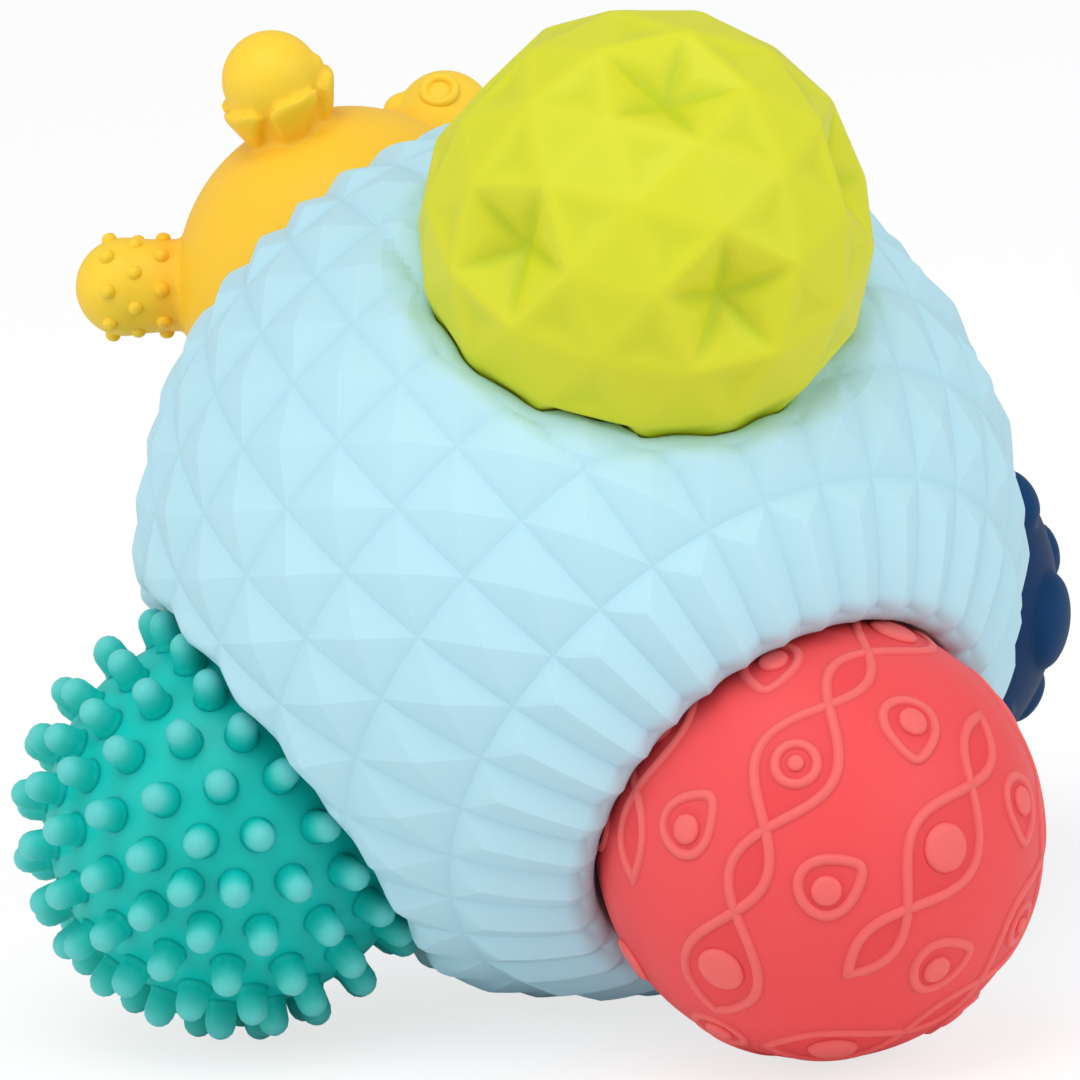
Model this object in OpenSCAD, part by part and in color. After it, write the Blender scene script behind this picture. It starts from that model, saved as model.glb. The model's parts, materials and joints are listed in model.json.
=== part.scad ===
// Sensory ball: a big quilted ball whose sockets hold small textured balls that pull out.
// The origin is the point where the big ball touches the surface that it stands on, +Z is up
// and the photographed side faces -Y.

/* [Big ball] */
// Radius to the peaks of the quilted skin
ball_r = 80; // [76:1:90]
// Depth of the grooves between the raised panels
groove_depth = 2; // [1:0.25:2.5]
// Thickness of the skin under the grooves
ball_wall = 3; // [2:0.25:4]
// Number of panels round the ball
panel_columns = 32; // [24:1:40]
// Turn of the quilting about the ball's own axis, in degrees
quilt_turn = 4.7; // [0:0.1:11]

/* [Sockets] */
// Distance from the big ball's centre to the centre of each seated small ball
socket_distance = 77.5; // [75:0.5:82]
// Radius of the rounded lip round each socket
lip_r = 5; // [4:0.25:6]
// Wall of each socket cup
cup_wall = 2.5; // [2:0.25:3.5]
// Width of the cup's flange along the inside of the skin, from the edge of the lip
flange_w = 6; // [4:0.5:8]
// Thickness of the cup's flange
flange_t = 2; // [1.5:0.25:3]
// Radius of the air hole in the floor of each cup
cup_vent_r = 2.5; // [1.5:0.25:4]

/* [Small balls] */
// Radius that each small ball fills
small_ball_r = 40; // [37:0.5:41]
// Thickness of each small ball's skin
small_ball_wall = 2.5; // [2:0.25:3.5]
// Radius of the plug that closes each small ball's air hole
plug_r = 3; // [2:0.25:4]
// Width of the plug's inner flange beyond its stem
plug_flange_w = 1.5; // [1:0.25:2.5]
// Thickness of the plug's inner flange
plug_flange_t = 1.2; // [0.8:0.1:2]

/* [Raised line ball] */
// Height of the raised pattern
line_height = 0.8; // [0.5:0.1:1.2]
// Radius of each raised dot
eye_r = 2.6; // [1.5:0.1:3.5]

/* [Dimpled ball] */
// Depth of each star-shaped dimple
dimple_depth = 8; // [5:0.5:9]
// Height of the ridges between the arms of each star
star_ridge = 1.2; // [0.5:0.1:1.6]
// Depth of the small dents between the dimples
dent_depth = 0.8; // [0.5:0.1:1.5]

/* [Finger ball] */
// Length of each finger
finger_length = 6.5; // [5:0.5:8]
// Radius of a finger's round tip
finger_r = 3; // [2.5:0.1:3.5]
// Radius of a finger where it leaves the ball
finger_root_r = 3.6; // [3.5:0.1:4.2]

/* [Knob ball] */
// Radius of the round body
knob_body_r = 31.5; // [29:0.5:34]
// Distance from the body's centre to the tip of a knob
knob_reach = 50; // [46:0.5:52]
// Radius of a knob's round head
knob_r = 9.3; // [8.5:0.1:10]
// Radius of a knob's neck
knob_neck_r = 8.5; // [7.5:0.1:9]
// Radius of the dots on the dotted knob
dot_r = 1.7; // [1.2:0.1:2.2]
// Radius of the petals round the collared knob's neck
petal_r = 4.5; // [3.5:0.25:5]
// Thickness of the petals
petal_t = 2; // [1.5:0.25:3]
// Radius of the small bump on a knob's side
bump_r = 3; // [2:0.25:4]
// Radius of the ring on the ringed knob
ring_r = 3.2; // [2.5:0.1:4]
// Radius of the ring's own round section
ring_line_r = 0.8; // [0.5:0.1:1.2]
// Radius of the short feet that seat the knob ball in a socket
foot_r = 7; // [6:0.5:8]

/* [Pad ball] */
// Height of the domed pads
pad_height = 3; // [2:0.25:4]
// Radius of a large pad's rim
large_pad_r = 9; // [8:0.25:10]
// Radius of a small pad's rim
small_pad_r = 6; // [5:0.25:7]

/* [Hidden] */

$fn = 72;
fine_fn = 200;

// Clearances
seat_clearance = 0.3;
bond_gap = 0.15;
plug_gap = 0.1;
overrun = 1;

// Colours
sky = [0.73, 0.89, 0.95];
coral = [0.93, 0.36, 0.36];
sun = [0.99, 0.82, 0.29];
lime = [0.86, 0.87, 0.24];
sea = [0.02, 0.71, 0.66];
ink = [0.15, 0.29, 0.45];

// Sockets: one at each pole of the big ball and three round its equator
red_socket = [0, 0, 0];
yellow_socket = [180, 0, 0];
lime_socket = [0, 90, 0];
teal_socket = [0, 90, 120];
navy_socket = [0, 90, -120];
sockets = [red_socket, yellow_socket, lime_socket, teal_socket, navy_socket];

// The ball rests on itself, the red ball and the teal ball, so the downward direction makes the
// same angle with the red and the teal socket's axes
rest_share = (ball_r - small_ball_r) / socket_distance;
rest_tilt = acos(rest_share);
rest_azimuth = 120 + atan2(sqrt(1 - 2 * pow(rest_share, 2)), rest_share);
front_turn = -54.6;

// Skin of the big ball
groove_r = ball_r - groove_depth;
cavity_r = groove_r - ball_wall;
row_latitudes = [12.6, 25.5, 40.5];
pleat_latitudes = [44.5, 50, 55.5, 61, 68];

// Socket: the lip's round section touches both the skin's sphere and the cup's sphere
cup_r = small_ball_r + seat_clearance;
lip_reach = ball_r - lip_r;
lip_to_seat = cup_r + lip_r;
lip_z = (pow(lip_reach, 2) + pow(socket_distance, 2) - pow(lip_to_seat, 2)) / (2 * socket_distance);
lip_ring_r = sqrt(pow(lip_reach, 2) - pow(lip_z, 2));
mouth_slope = lip_ring_r / lip_z;
mouth_foot = lip_z / 2;
mouth_top = ball_r + overrun;
bond_r = cavity_r - bond_gap;
flange_angle = atan(mouth_slope) + flange_w / cavity_r * 180 / PI;

// Small balls
line_body_r = small_ball_r - line_height;
dimple_r = small_ball_r - dimple_depth;
finger_body_r = small_ball_r - finger_length;
pad_body_r = small_ball_r - pad_height;
plug_flange_r = plug_r + plug_flange_w;

// Directions of an icosahedron's corners, with one corner on +Z
belt_latitude = atan(1 / 2);
corners = concat(
    [[0, 0, 1]],
    [for (i = [0:4]) direction(belt_latitude, i * 72)],
    [for (i = [0:4]) direction(-belt_latitude, i * 72 + 36)],
    [[0, 0, -1]]
);
edges = [
    for (i = [0:10], j = [i + 1:11])
        if (neighbours(i, j))
            [i, j]
];
triangles = [
    for (i = [0:9], j = [i + 1:10], k = [j + 1:11])
        if (neighbours(i, j) && neighbours(j, k) && neighbours(i, k))
            cross(corners[i], corners[j]) * corners[k] > 0 ? [i, j, k] : [i, k, j]
];
finger_steps = 4;
fingers = concat(
    corners,
    [for (e = edges, t = [1:finger_steps - 1]) between(corners[e[0]], corners[e[1]], t / finger_steps)],
    [for (f = triangles, t = [0:2]) unit(corners[f[0]] + corners[f[1]] + corners[f[2]] + corners[f[t]])]
);
plug_room = 12;

// Dimples: the share of an icosahedron's side that a dimple takes, and how steeply it climbs
dimple_share = 1 / 3;
dimple_rim = small_ball_r * between(corners[0], corners[1], dimple_share);
dimple_climb = (dimple_rim[2] - dimple_r) / norm([dimple_rim[0], dimple_rim[1]]);
dimple_plug_r = dimple_r + dimple_climb * plug_r;

// Turns of the small balls about their sockets' axes
dimple_turn = 26;
knob_turn = -14;
knob_slope = 57;
finger_turn = 12;

// Knobs
knob_head = knob_reach - knob_r;
neck_foot = knob_body_r - knob_r;
dot_row_shares = [0.2, 0.43, 0.66];
dots_in_row = 8;
petals = 5;
petal_turn = 26;
petal_lean = 14;
petal_share = 0.22;
collar_bump_share = 0.62;
collar_bump_turn = 64;
ring_bump_share = 0.27;
ring_bump_turn = 184;
ring_turn = -80;
ring_slope = 76;
knobs = 4;
feet = 4;

function direction(latitude, longitude) =
    [cos(latitude) * cos(longitude), cos(latitude) * sin(longitude), sin(latitude)];
function unit(v) = v / norm(v);
function between(a, b, t) = unit(a * (1 - t) + b * t);
function neighbours(i, j) = corners[i] * corners[j] > 0 && corners[i] * corners[j] < 0.9;

// Places

module on_floor() {
    translate([0, 0, ball_r])
        rotate([0, 0, front_turn])
            rotate([0, 180 - rest_tilt, 0])
                rotate([0, 0, -rest_azimuth])
                    children();
}

module at_socket(socket) {
    on_floor() rotate(socket) children();
}

module at_seat(socket, turn = 0) {
    at_socket(socket) translate([0, 0, socket_distance]) rotate([0, 0, turn]) children();
}

// Turns +Z to a direction
module facing(v) {
    rotate([0, acos(v[2] / norm(v)), atan2(v[1], v[0])]) children();
}

// Big ball

// Rows of points round the ball: a row has a latitude and, if it crosses the panels' middles,
// every second point of it stands at the peaks
function pole_rows(side) = [for (a = pleat_latitudes) [side * a, true]];
function sorted_edges() = let (e = row_latitudes, n = len(e) - 1)
    concat([for (i = [n:-1:0]) -e[i]], [0], e);
function panel_rows() = let (e = sorted_edges(), n = len(e) - 1)
    [for (i = [0:n], middle = [false, true])
        if (i < n || !middle)
            middle ? [(e[i] + e[i + 1]) / 2, true] : [e[i], false]];
function reversed(list) = [for (i = [len(list) - 1:-1:0]) list[i]];

module quilted_ball() {
    rows = concat(reversed(pole_rows(-1)), panel_rows(), pole_rows(1));
    n = 2 * panel_columns;
    last = len(rows) - 1;
    points = [
        for (row = rows, c = [0:n - 1])
            (row[1] && c % 2 == 1 ? ball_r : groove_r) * direction(row[0], c * 360 / n + quilt_turn)
    ];
    poles = [[0, 0, -groove_r], [0, 0, groove_r]];
    south = len(points);
    sides = [
        for (i = [0:last - 1], c = [0:n - 1])
            let (
                a = i * n + c,
                b = i * n + (c + 1) % n,
                crease = rows[i][1] == (c % 2 == 1)
            )
            each crease ? [[a, a + n, b + n], [a, b + n, b]] : [[a, a + n, b], [b, a + n, b + n]]
    ];
    caps = [
        for (c = [0:n - 1])
            each [[south, c, (c + 1) % n], [south + 1, last * n + (c + 1) % n, last * n + c]]
    ];
    polyhedron(concat(points, poles), concat(sides, caps), convexity = 6);
}

module socket_mouth() {
    difference() {
        translate([0, 0, mouth_foot])
            cylinder(
                r1 = mouth_foot * mouth_slope, r2 = mouth_top * mouth_slope,
                h = mouth_top - mouth_foot
            );
        rotate_extrude() translate([lip_ring_r, lip_z]) circle(r = lip_r);
    }
}

module ball_shell() {
    color(sky)
        on_floor()
            difference() {
                quilted_ball();
                sphere(r = cavity_r, $fn = fine_fn);
                for (socket = sockets) rotate(socket) socket_mouth();
            }
}

// A bowl whose flange lies against the inside of the skin
module socket_cup(socket) {
    color(sky)
        at_socket(socket)
            rotate_extrude()
                difference() {
                    intersection() {
                        circle(r = bond_r);
                        union() {
                            translate([0, socket_distance]) circle(r = cup_r + cup_wall);
                            difference() {
                                polygon([
                                    [0, 0], [ball_r * tan(flange_angle), ball_r], [0, ball_r]
                                ]);
                                circle(r = bond_r - flange_t);
                            }
                        }
                        translate([cup_vent_r, 0]) square(ball_r);
                    }
                    translate([0, socket_distance]) circle(r = cup_r);
                }
}

// Small balls

module plug_hole(skin_r) {
    mirror([0, 0, 1])
        translate([0, 0, skin_r - small_ball_wall - overrun])
            cylinder(r = plug_r + plug_gap, h = small_ball_r - skin_r + small_ball_wall + 2 * overrun);
}

// A stem flush with the skin and a flange against the inside of the wall
module plug(skin_r) {
    wall_r = skin_r - small_ball_wall;
    flange_top = sqrt(pow(wall_r, 2) - pow(plug_flange_r, 2)) - bond_gap;
    mirror([0, 0, 1])
        rotate_extrude() {
            translate([0, flange_top]) square([plug_r, skin_r - plug_gap - flange_top]);
            translate([0, flange_top - plug_flange_t]) square([plug_flange_r, plug_flange_t]);
        }
}

module hollow(skin_r) {
    difference() {
        children();
        sphere(r = skin_r - small_ball_wall);
        plug_hole(skin_r);
    }
}

// A dome that stands on a body's sphere, on a rim of the given radius, and just fills the ball's
// own sphere
module dome(body_r, rim_r) {
    rim_z = sqrt(pow(body_r, 2) - pow(rim_r, 2));
    rise = small_ball_r - rim_z;
    dome_r = (pow(rim_r, 2) + pow(rise, 2)) / (2 * rise);
    translate([0, 0, small_ball_r - dome_r]) sphere(r = dome_r);
}

module red_skin() {
    color(coral)
        at_seat(red_socket)
            hollow(line_body_r) {
                sphere(r = line_body_r);
                for (f = triangles)
                    facing(corners[f[0]] + corners[f[1]] + corners[f[2]]) dome(line_body_r, eye_r);
            }
}

// The sides of an icosahedron's faces are cut in three. The corners are the dimples' bottoms, the
// cuts are their rims, and each face's middle is a peak. A ridge climbs from a bottom to each side
// of its rim, and a dent lies between that side and the peak.
module dimpled_ball(inset) {
    low = dimple_r - inset;
    high = small_ball_r - inset;
    face_points = 16;
    points = [
        for (f = triangles)
            let (
                v = [for (i = f) corners[i]],
                rim = [
                    for (i = [0:2])
                        each [
                            high * between(v[i], v[(i + 1) % 3], dimple_share),
                            high * between(v[(i + 1) % 3], v[i], dimple_share)
                        ]
                ],
                peak = high * unit(v[0] + v[1] + v[2]),
                sills = [for (i = [0:2]) (rim[2 * i] + rim[(2 * i + 5) % 6]) / 2],
                flats = [for (sill = sills) (2 * sill + peak) / 3],
                slopes = [for (i = [0:2]) (low * v[i] + sills[i]) / 2]
            )
            each concat(
                [for (d = v) low * d],
                rim,
                [peak],
                [for (flat = flats) flat - dent_depth * unit(flat)],
                [for (slope = slopes) slope + star_ridge * unit(slope)]
            )
    ];
    facets = [
        for (f = [0:len(triangles) - 1], i = [0:2])
            let (
                first = face_points * f,
                corner = first + i,
                before = first + 3 + (2 * i + 5) % 6,
                after = first + 3 + 2 * i,
                peak = first + 9,
                dent = first + 10 + i,
                ridge = first + 13 + i
            )
            each [
                [corner, before, ridge], [corner, ridge, after], [before, after, ridge],
                [before, dent, after], [after, dent, peak], [peak, dent, before],
                [after, peak, after + 1]
            ]
    ];
    polyhedron(points, facets, convexity = 6);
}

module lime_skin() {
    color(lime)
        at_seat(lime_socket, dimple_turn)
            difference() {
                dimpled_ball(0);
                dimpled_ball(small_ball_wall);
                plug_hole(dimple_r);
            }
}

module finger() {
    tip_z = small_ball_r - finger_r;
    foot_z = finger_body_r - finger_r;
    rotate_extrude()
        intersection() {
            translate([0, foot_z]) square([finger_root_r + overrun, small_ball_r]);
            union() {
                translate([0, tip_z]) circle(r = finger_r);
                polygon([[0, foot_z], [finger_root_r, foot_z], [finger_r, tip_z], [0, tip_z]]);
            }
        }
}

module teal_skin() {
    color(sea)
        at_seat(teal_socket, finger_turn)
            hollow(finger_body_r) {
                sphere(r = finger_body_r);
                for (v = fingers)
                    if (v[2] > -cos(plug_room))
                        facing(v) finger();
            }
}

module knob(inset) {
    rotate_extrude()
        intersection() {
            square(knob_reach);
            union() {
                translate([0, knob_head]) circle(r = knob_r - inset);
                translate([0, neck_foot]) square([knob_neck_r - inset, knob_head - neck_foot]);
            }
        }
}

module knob_dots() {
    for (row = [0:len(dot_row_shares) - 1], i = [0:dots_in_row - 1])
        rotate([0, 0, (i + row / 2) * 360 / dots_in_row])
            translate([
                knob_neck_r, 0, knob_body_r + dot_row_shares[row] * (knob_reach - knob_body_r)
            ])
                sphere(r = dot_r);
}

module knob_petals() {
    for (i = [0:petals - 1])
        rotate([0, 0, petal_turn + i * 360 / petals])
            translate([knob_neck_r, 0, knob_body_r + petal_share * (knob_reach - knob_body_r)])
                rotate([0, 90 + petal_lean, 0])
                    cylinder(r = petal_r, h = petal_t, center = true);
}

module knob_bump(share, turn) {
    rotate([0, 0, turn])
        translate([knob_neck_r, 0, knob_body_r + share * (knob_reach - knob_body_r)])
            sphere(r = bump_r);
}

module knob_ring() {
    rotate([0, ring_slope, ring_turn])
        translate([0, 0, knob_r])
            rotate_extrude() translate([ring_r, 0]) circle(r = ring_line_r);
}

module foot(inset) {
    rotate_extrude()
        intersection() {
            circle(r = small_ball_r - inset);
            translate([0, neck_foot]) square([foot_r - inset, small_ball_r]);
        }
}

module around(count, slope) {
    for (i = [0:count - 1])
        rotate([0, slope, i * 360 / count]) children();
}

module yellow_skin() {
    color(sun)
        at_seat(yellow_socket, knob_turn)
            difference() {
                union() {
                    sphere(r = knob_body_r);
                    around(knobs, knob_slope) knob(0);
                    around(feet, 180 - knob_slope) foot(0);
                    rotate([0, knob_slope, -90]) knob_dots();
                    rotate([0, knob_slope, 0]) {
                        knob_petals();
                        knob_bump(collar_bump_share, collar_bump_turn);
                    }
                    rotate([0, knob_slope, 90]) {
                        knob_bump(ring_bump_share, ring_bump_turn);
                        translate([0, 0, knob_head]) knob_ring();
                    }
                }
                sphere(r = knob_body_r - small_ball_wall);
                around(knobs, knob_slope) knob(small_ball_wall);
                around(feet, 180 - knob_slope) foot(small_ball_wall);
                plug_hole(knob_body_r);
            }
}

module navy_skin() {
    color(ink)
        at_seat(navy_socket)
            hollow(pad_body_r) {
                sphere(r = pad_body_r);
                for (v = corners)
                    if (v[2] > -cos(plug_room))
                        facing(v) dome(pad_body_r, large_pad_r);
                for (f = triangles)
                    facing(corners[f[0]] + corners[f[1]] + corners[f[2]]) dome(pad_body_r, small_pad_r);
            }
}

module red_cup() { socket_cup(red_socket); }
module yellow_cup() { socket_cup(yellow_socket); }
module lime_cup() { socket_cup(lime_socket); }
module teal_cup() { socket_cup(teal_socket); }
module navy_cup() { socket_cup(navy_socket); }

module red_plug() { color(coral) at_seat(red_socket) plug(line_body_r); }
module yellow_plug() { color(sun) at_seat(yellow_socket) plug(knob_body_r); }
module lime_plug() { color(lime) at_seat(lime_socket) plug(dimple_plug_r); }
module teal_plug() { color(sea) at_seat(teal_socket) plug(finger_body_r); }
module navy_plug() { color(ink) at_seat(navy_socket) plug(pad_body_r); }

ball_shell();
red_cup();
yellow_cup();
lime_cup();
teal_cup();
navy_cup();
red_skin();
yellow_skin();
lime_skin();
teal_skin();
navy_skin();
red_plug();
yellow_plug();
lime_plug();
teal_plug();
navy_plug();
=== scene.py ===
import json
import math

import bpy
import numpy as np
from mathutils import Matrix


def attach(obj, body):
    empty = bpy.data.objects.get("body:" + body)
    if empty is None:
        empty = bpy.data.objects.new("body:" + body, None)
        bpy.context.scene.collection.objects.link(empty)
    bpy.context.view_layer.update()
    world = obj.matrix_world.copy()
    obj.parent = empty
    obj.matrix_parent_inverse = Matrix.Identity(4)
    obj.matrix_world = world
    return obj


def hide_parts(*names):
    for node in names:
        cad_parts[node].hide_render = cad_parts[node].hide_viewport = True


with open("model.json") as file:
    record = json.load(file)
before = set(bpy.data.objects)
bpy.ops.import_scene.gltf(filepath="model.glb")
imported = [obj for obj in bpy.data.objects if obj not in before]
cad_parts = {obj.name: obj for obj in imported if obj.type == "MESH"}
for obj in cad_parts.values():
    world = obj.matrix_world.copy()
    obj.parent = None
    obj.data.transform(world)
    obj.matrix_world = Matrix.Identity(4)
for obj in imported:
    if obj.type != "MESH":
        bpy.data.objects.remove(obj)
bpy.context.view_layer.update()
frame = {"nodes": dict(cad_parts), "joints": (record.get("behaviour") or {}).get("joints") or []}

scene = bpy.context.scene
mm = 0.001  # of a metre, and the angles in the dictionaries are in degrees

toy = {
    "ballRadius": 80 * mm,
    "seatDistance": 77.5 * mm,  # big ball's centre to a seated ball's centre
    "smallRadius": 40 * mm,
    "seatGap": 0.3 * mm,
    "plugHole": 3.1 * mm,
    "plugDepth": 2.6 * mm,
    "plugBevel": 0.1 * mm,
    "plugFlare": 1.12,  # of the hole's radius, at its rounded edge
    "plugClear": 1.35,  # of the hole's radius, where the skin is opened
}


# Shader and geometry trees

class Wire:  # a socket that can stand in a sum
    def __init__(self, sheet, socket):
        self.sheet, self.socket = sheet, socket

    def sum(self, operation, *values):
        return self.sheet.add("ShaderNodeMath", {"operation": operation}, dict(enumerate(values)))

    def __add__(self, other):
        return self.sum("ADD", self, other)

    def __radd__(self, other):
        return self.sum("ADD", other, self)

    def __sub__(self, other):
        return self.sum("SUBTRACT", self, other)

    def __rsub__(self, other):
        return self.sum("SUBTRACT", other, self)

    def __mul__(self, other):
        return self.sum("MULTIPLY", self, other)

    def __rmul__(self, other):
        return self.sum("MULTIPLY", other, self)

    def __pow__(self, other):
        return self.sum("POWER", self, other)

    def softMin(self, other, blend):
        return self.sum("SMOOTH_MIN", self, other, blend)


class NodeSheet:  # a tree of nodes, to which each call adds one or a few
    def __init__(self, tree):
        self.tree = tree

    def add(self, kind, settings={}, sockets={}, out=0):
        node = self.tree.nodes.new(kind)
        for name, value in settings.items():
            setattr(node, name, value)
        for name, value in sockets.items():
            if isinstance(value, Wire):
                self.tree.links.new(value.socket, node.inputs[name])
            else:
                node.inputs[name].default_value = value
        return Wire(self, node.outputs[out]) if node.outputs else node

    def blend(self, share, low, high):  # colours, low where share is 0
        settings = {"data_type": "RGBA", "clamp_factor": True}
        return self.add("ShaderNodeMix", settings, {0: share, 6: low, 7: high}, out=2)

    def scaled(self, vector, size):
        return self.add("ShaderNodeVectorMath", {"operation": "SCALE"}, {0: vector, "Scale": size})

    def layer(self, name, kind="FLOAT"):  # an attribute, in a geometry tree
        return self.add("GeometryNodeInputNamedAttribute", {"data_type": kind}, {"Name": name})

    def shape(self, obj):
        return self.add("GeometryNodeObjectInfo", {}, {"Object": obj}, out=4)

    def spread(self, points, shape, more={}):  # the shape at each point, standing along its aim
        aim = self.layer("aim", "FLOAT_VECTOR")
        tilt = self.add("FunctionNodeAlignRotationToVector", {"axis": "Z"}, {"Vector": aim})
        stood = self.add("GeometryNodeInstanceOnPoints", {}, {
            "Points": points, "Instance": shape, "Rotation": tilt, **more,
        })
        return self.add("GeometryNodeRealizeInstances", {}, {"Geometry": stood})

    def join(self, *parts):
        node = self.tree.nodes.new("GeometryNodeJoinGeometry")
        for part in parts:
            self.tree.links.new(part.socket, node.inputs[0])
        return Wire(self, node.outputs[0])


def growTree(name, inputs):  # a geometry tree, and its named inputs as wires
    tree = bpy.data.node_groups.new(name, "GeometryNodeTree")
    tree.is_modifier = True
    for label, kind in {"Geometry": "Geometry", **inputs}.items():
        tree.interface.new_socket(label, in_out="INPUT", socket_type="NodeSocket" + kind)
    tree.interface.new_socket("Geometry", in_out="OUTPUT", socket_type="NodeSocketGeometry")
    start = tree.nodes.new("NodeGroupInput")
    sheet = NodeSheet(tree)
    return sheet, {s.name: Wire(sheet, s) for s in start.outputs if s.name}


def endTree(sheet, geometry, material):
    real = sheet.add("GeometryNodeRealizeInstances", {}, {"Geometry": geometry})
    smooth = sheet.add("GeometryNodeSetShadeSmooth", {}, {"Geometry": real})
    painted = sheet.add("GeometryNodeSetMaterial", {}, {"Geometry": smooth, "Material": material})
    sheet.add("NodeGroupOutput", {}, {"Geometry": painted})
    return sheet.tree


def frozenMesh(obj):  # with the modifiers worked out
    depsgraph = bpy.context.evaluated_depsgraph_get()
    return bpy.data.meshes.new_from_object(obj.evaluated_get(depsgraph), depsgraph=depsgraph)


def runTree(obj, tree, values):  # puts what the tree makes in place of the mesh
    modifier = obj.modifiers.new(tree.name, "NODES")
    modifier.node_group = tree
    for item in tree.interface.items_tree:
        if item.item_type == "SOCKET" and item.in_out == "INPUT" and item.name in values:
            modifier[item.identifier] = values[item.name]
    grown = frozenMesh(obj)
    obj.modifiers.remove(modifier)
    obj.data = grown
    grown.name = obj.name


# Meshes from arrays

def newObject(name, points, faces, edges=()):
    mesh = bpy.data.meshes.new(name)
    mesh.from_pydata(np.asarray(points).tolist(), list(edges), [list(f) for f in faces])
    mesh.polygons.foreach_set("use_smooth", [True] * len(mesh.polygons))
    obj = bpy.data.objects.new(name, mesh)
    scene.collection.objects.link(obj)
    return obj


def setAttribute(obj, name, values, kind="FLOAT"):
    layer = obj.data.attributes.new(name, kind, "POINT")
    layer.data.foreach_set("vector" if kind == "FLOAT_VECTOR" else "value", np.ravel(values))


def dropObject(*objects):
    for obj in objects:
        bpy.data.objects.remove(obj)


def spotsOf(mesh):
    return np.array([v.co[:] for v in mesh.vertices])


def turn(axis, degrees):
    return np.array(Matrix.Rotation(math.radians(degrees), 3, axis))


def unit(v):
    return v / np.linalg.norm(v, axis=-1, keepdims=True)


def direction(latitude, longitude):
    a, b = np.radians(latitude), np.radians(longitude)
    return np.stack([np.cos(a) * np.cos(b), np.cos(a) * np.sin(b), np.sin(a) + 0 * b], -1)


def fullTurn(steps):
    return np.linspace(0, 2 * math.pi, steps, endpoint=False)


def latheObject(name, profile, sides):  # a closed round piece about the third axis
    ring = direction(0, np.degrees(fullTurn(sides)))
    body = profile[1:-1]
    rings = [r * ring + [0, 0, z] for r, z in body]
    points = np.vstack([[0, 0, profile[0][1]], *rings, [0, 0, profile[-1][1]]])
    faces = []
    for k in range(len(body) - 1):
        for i in range(sides):
            a, b = 1 + k * sides + i, 1 + k * sides + (i + 1) % sides
            faces.append([a, b, b + sides, a + sides])
    last = 1 + (len(body) - 1) * sides
    for i in range(sides):
        j = (i + 1) % sides
        faces += [[0, 1 + j, 1 + i], [last + i, last + j, len(points) - 1]]
    return newObject(name, points, faces)


def cutRound(points, faces, axis, limit):  # takes away the faces within an angle of the axis
    inside = unit(points) @ axis > math.cos(limit)
    kept = [f for f in faces if not any(inside[i] for i in f)]
    used = sorted({i for f in kept for i in f})
    place = {old: new for new, old in enumerate(used)}
    return points[used], [[place[i] for i in f] for f in kept]


def openLoops(faces):
    ways = {(f[i - 1], f[i]) for f in faces for i in range(len(f))}
    following = {a: b for a, b in ways if (b, a) not in ways}
    loops = []
    while following:
        start = min(following)
        loop = [start]
        while (nextOne := following.pop(loop[-1])) != start:
            loop.append(nextOne)
        loops.append(loop)
    return loops


def closeLoop(points, faces, loop, rings, floor):  # walls down from an open edge to a middle point
    last, count = loop, len(points)
    for ring in rings:
        fresh = list(range(count, count + len(ring)))
        for i in range(len(loop)):
            faces.append([last[i], last[i - 1], fresh[i - 1], fresh[i]])
        points = np.vstack([points, ring])
        last, count = fresh, len(points)
    faces += [[last[i], last[i - 1], count] for i in range(len(loop))]
    return np.vstack([points, floor])


def roundAbout(points, axes):  # angle from the third axis, and the unit direction square to it
    local = points @ axes
    spread = np.linalg.norm(local[:, :2], axis=1)
    return np.arctan2(spread, local[:, 2]), (local[:, :2] / spread[:, None]) @ axes[:, :2].T


def openPlugHole(points, faces, skinRadius):  # on the side that lies in the socket
    hole, back = toy["plugHole"], np.array([0, 0, -1.0])
    points, faces = cutRound(points, faces, back, toy["plugClear"] * hole / skinRadius)
    loop = min(openLoops(faces), key=lambda l: points[l][:, 2].mean())
    side = unit(points[loop] * [1, 1, 0])
    rim = math.sqrt(skinRadius**2 - hole**2)
    steps = [
        (toy["plugFlare"] * hole, rim),
        (hole, rim - toy["plugBevel"]),
        (hole, rim - toy["plugDepth"]),
    ]
    rings = [r * side + z * back for r, z in steps]
    return closeLoop(points, faces, loop, rings, steps[-1][1] * back), faces


# Where everything sits, from the pull axes of the frame

pull = {joint["child"]: np.array(joint["axis"]) for joint in frame["joints"]}
pole, prime = pull["red_ball"], pull["lime_ball"]
quiltAxes = np.column_stack([prime, np.cross(pole, prime), pole])
ballCentre = np.array([0, 0, toy["ballRadius"]])
socketTurns = {
    "red": np.eye(3),
    "yellow": turn("X", 180),
    "lime": turn("Y", 90),
    "teal": turn("Z", 120) @ turn("Y", 90),
    "navy": turn("Z", -120) @ turn("Y", 90),
}
sideSockets = ("lime", "teal", "navy")


def seat(colour, points, spin=0):
    axes = quiltAxes @ socketTurns[colour]
    return points @ (axes @ turn("Z", spin)).T + ballCentre + toy["seatDistance"] * axes[:, 2]


def seatCentre(colour):
    return seat(colour, np.zeros(3))


def finishBall(obj, colour, material):
    for piece in (obj, frame["nodes"][colour + "_plug"]):
        piece.data.materials.clear()
        piece.data.materials.append(material)
    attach(obj, colour + "_ball")
    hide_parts(colour + "_skin")
    print(obj.name, len(obj.data.polygons), "faces")


# An icosahedron with a corner on the third axis, and spheres divided from it

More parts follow.
